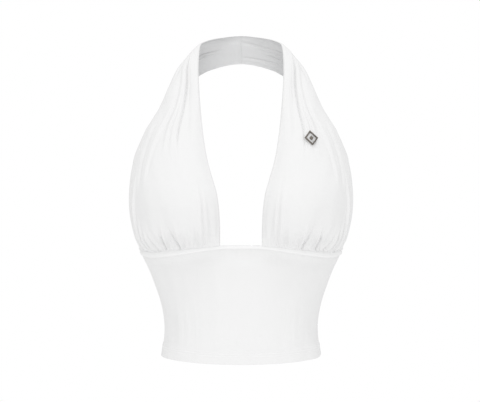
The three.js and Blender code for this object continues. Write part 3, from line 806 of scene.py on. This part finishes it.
def jersey_material(name, knit, face_white):
    material, tree, shader = new_material(name)
    cloth = tree.nodes.new("ShaderNodeUVMap")
    cloth.uv_map = "cloth"
    knitted = tree.nodes.new("ShaderNodeGroup")
    knitted.node_tree = knit
    knitted.inputs["Wale"].default_value = 0.5
    knitted.inputs["Course"].default_value = 0.42
    tree.links.new(cloth.outputs[0], knitted.inputs["Cloth"])
    inside = tree.nodes.new("ShaderNodeAttribute")
    inside.attribute_name = "inside"
    place = tree.nodes.new("ShaderNodeTexCoord")
    cloudy = tree.nodes.new("ShaderNodeTexNoise")
    cloudy.inputs["Scale"].default_value = 45
    cloudy.inputs["Detail"].default_value = 3
    tree.links.new(place.outputs["Object"], cloudy.inputs["Vector"])
    outside = (face_white, face_white, face_white, 1)
    # painted shade: the inner face is coloured darker than the outer, for the shade inside the garment
    face = mixed_color(tree, inside.outputs["Fac"], outside, (0.70, 0.702, 0.705, 1))
    clouded = mixed_color(tree, cloudy.outputs["Fac"], (0.985, 0.985, 0.985, 1), (1, 1, 1, 1))
    face = mixed_color(tree, 1.0, face, clouded, "MULTIPLY")
    # painted shade between the knit loops darkens the face colour
    face = mixed_color(tree, 1.0, face, knitted.outputs["Painted Shade"], "MULTIPLY")
    tree.links.new(face, shader.inputs["Base Color"])
    bump = tree.nodes.new("ShaderNodeBump")
    bump.inputs["Strength"].default_value = 0.35
    bump.inputs["Distance"].default_value = 0.12 * MM
    tree.links.new(knitted.outputs["Height"], bump.inputs["Height"])
    tree.links.new(bump.outputs[0], shader.inputs["Normal"])
    shader.inputs["Roughness"].default_value = 0.92
    shader.inputs["Specular IOR Level"].default_value = 0.25
    shader.inputs["Sheen Weight"].default_value = 0.12
    shader.inputs["Sheen Roughness"].default_value = 0.5
    return material


def thread_material():
    material, tree, shader = new_material("white thread")
    place = tree.nodes.new("ShaderNodeTexCoord")
    twist = tree.nodes.new("ShaderNodeTexNoise")
    twist.inputs["Scale"].default_value = 2500
    tree.links.new(place.outputs["Object"], twist.inputs["Vector"])
    color = mixed_color(tree, twist.outputs["Fac"], (0.8, 0.8, 0.8, 1), (0.87, 0.87, 0.87, 1))
    tree.links.new(color, shader.inputs["Base Color"])
    shader.inputs["Roughness"].default_value = 0.6
    shader.inputs["Sheen Weight"].default_value = 0.2
    return material


def gunmetal_material():
    material, tree, shader = new_material("dark gunmetal")
    place = tree.nodes.new("ShaderNodeTexCoord")
    tarnish = tree.nodes.new("ShaderNodeTexNoise")
    tarnish.inputs["Scale"].default_value = 350
    tarnish.inputs["Detail"].default_value = 4
    tree.links.new(place.outputs["Object"], tarnish.inputs["Vector"])
    color = mixed_color(tree, tarnish.outputs["Fac"], (0.13, 0.115, 0.1, 1), (0.2, 0.18, 0.165, 1))
    tree.links.new(color, shader.inputs["Base Color"])
    rough = tree.nodes.new("ShaderNodeMapRange")
    rough.inputs["To Min"].default_value = 0.28
    rough.inputs["To Max"].default_value = 0.45
    tree.links.new(tarnish.outputs["Fac"], rough.inputs["Value"])
    tree.links.new(rough.outputs[0], shader.inputs["Roughness"])
    shader.inputs["Metallic"].default_value = 1
    return material


def floor_material():
    material, tree, shader = new_material("pale floor")
    shader.inputs["Base Color"].default_value = (0.86, 0.86, 0.86, 1)
    shader.inputs["Roughness"].default_value = 0.8
    return material


# Stage
FLOOR_HEIGHT = -1.75
FLOOR_SIZE = 4.0


def make_floor():
    bpy.ops.object.select_all(action="DESELECT")
    bpy.ops.mesh.primitive_plane_add(size=FLOOR_SIZE, location=(0, -0.8, FLOOR_HEIGHT))
    floor = bpy.context.object
    floor.name = "floor"
    floor.data.materials.append(floor_material())


def area_light(name, place, turned, size, power):
    bpy.ops.object.light_add(type="AREA", location=place, rotation=tuple(radians(a) for a in turned))
    light = bpy.context.object
    light.name = name
    light.data.shape = "RECTANGLE"
    light.data.size, light.data.size_y = size
    light.data.energy = power


def make_light():
    world = bpy.data.worlds.new("white studio")
    bpy.context.scene.world = world
    world.use_nodes = True
    sky = world.node_tree.nodes["Background"]
    sky.inputs["Color"].default_value = (1, 1, 1, 1)
    sky.inputs["Strength"].default_value = 1.0
    area_light("high softbox", (0, -1.2, 2.0), (28, 0, 0), (1.6, 1.0), 10.5)
    area_light("front softbox", (0, -2.9, -0.2), (90, 0, 0), (1.6, 1.0), 12)
    area_light("low fill", (0, -0.55, -1.6), (165, 0, 0), (1.2, 0.8), 2.6)
    bpy.context.scene.view_settings.view_transform = "Standard"


def make_camera():
    bpy.ops.object.camera_add(location=CAMERA_PLACE, rotation=(radians(90), 0, 0))
    camera = bpy.context.object
    camera.data.sensor_width = 36
    camera.data.lens = FOCAL_LENGTH
    camera.data.shift_x = -(MIDDLE_COLUMN - IMAGE_WIDTH / 2) / IMAGE_WIDTH
    bpy.context.scene.camera = camera


FRONT = (SIDE_SEAM_ANGLE, 180 - SIDE_SEAM_ANGLE)
BACK = (180 + SIDE_SEAM_ANGLE, 360 - SIDE_SEAM_ANGLE)

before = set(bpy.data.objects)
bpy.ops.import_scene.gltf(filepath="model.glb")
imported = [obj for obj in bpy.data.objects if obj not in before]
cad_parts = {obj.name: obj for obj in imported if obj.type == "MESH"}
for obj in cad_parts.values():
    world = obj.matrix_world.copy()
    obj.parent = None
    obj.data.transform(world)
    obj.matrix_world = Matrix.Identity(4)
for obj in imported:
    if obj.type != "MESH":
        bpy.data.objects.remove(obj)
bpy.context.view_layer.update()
make_camera()
make_light()
make_floor()

knit = knit_group()
jersey = jersey_material("white jersey", knit, 0.78)
# painted highlight: the piping's copy of the jersey is coloured lighter, for the light that its proud roll
# catches
painted_lighter_jersey = jersey_material("white jersey painted lighter", knit, 0.83)
thread = thread_material()
gunmetal = gunmetal_material()

halter("left", jersey)
halter("right", jersey)
for half, turns, columns in (("front", FRONT, 230), ("back", BACK, 200)):
    cloth, cut, area = midriff(f"midriff_{half}", *turns, columns, jersey)
    roll = piping(f"piping_{half}", *turns, 260, painted_lighter_jersey)
    sewn = hem_stitches(f"hem_stitches_{half}", *turns, thread)

ring = lozenge("ornament_ring", LOZENGE_HALF_WIDTH, LOZENGE_HALF_HEIGHT, LOZENGE_BAND, gunmetal)
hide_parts("ornament")
centre = lozenge("ornament_middle", CENTRE_HALF_WIDTH, CENTRE_HALF_HEIGHT, 0, gunmetal)
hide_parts("ornament_centre")
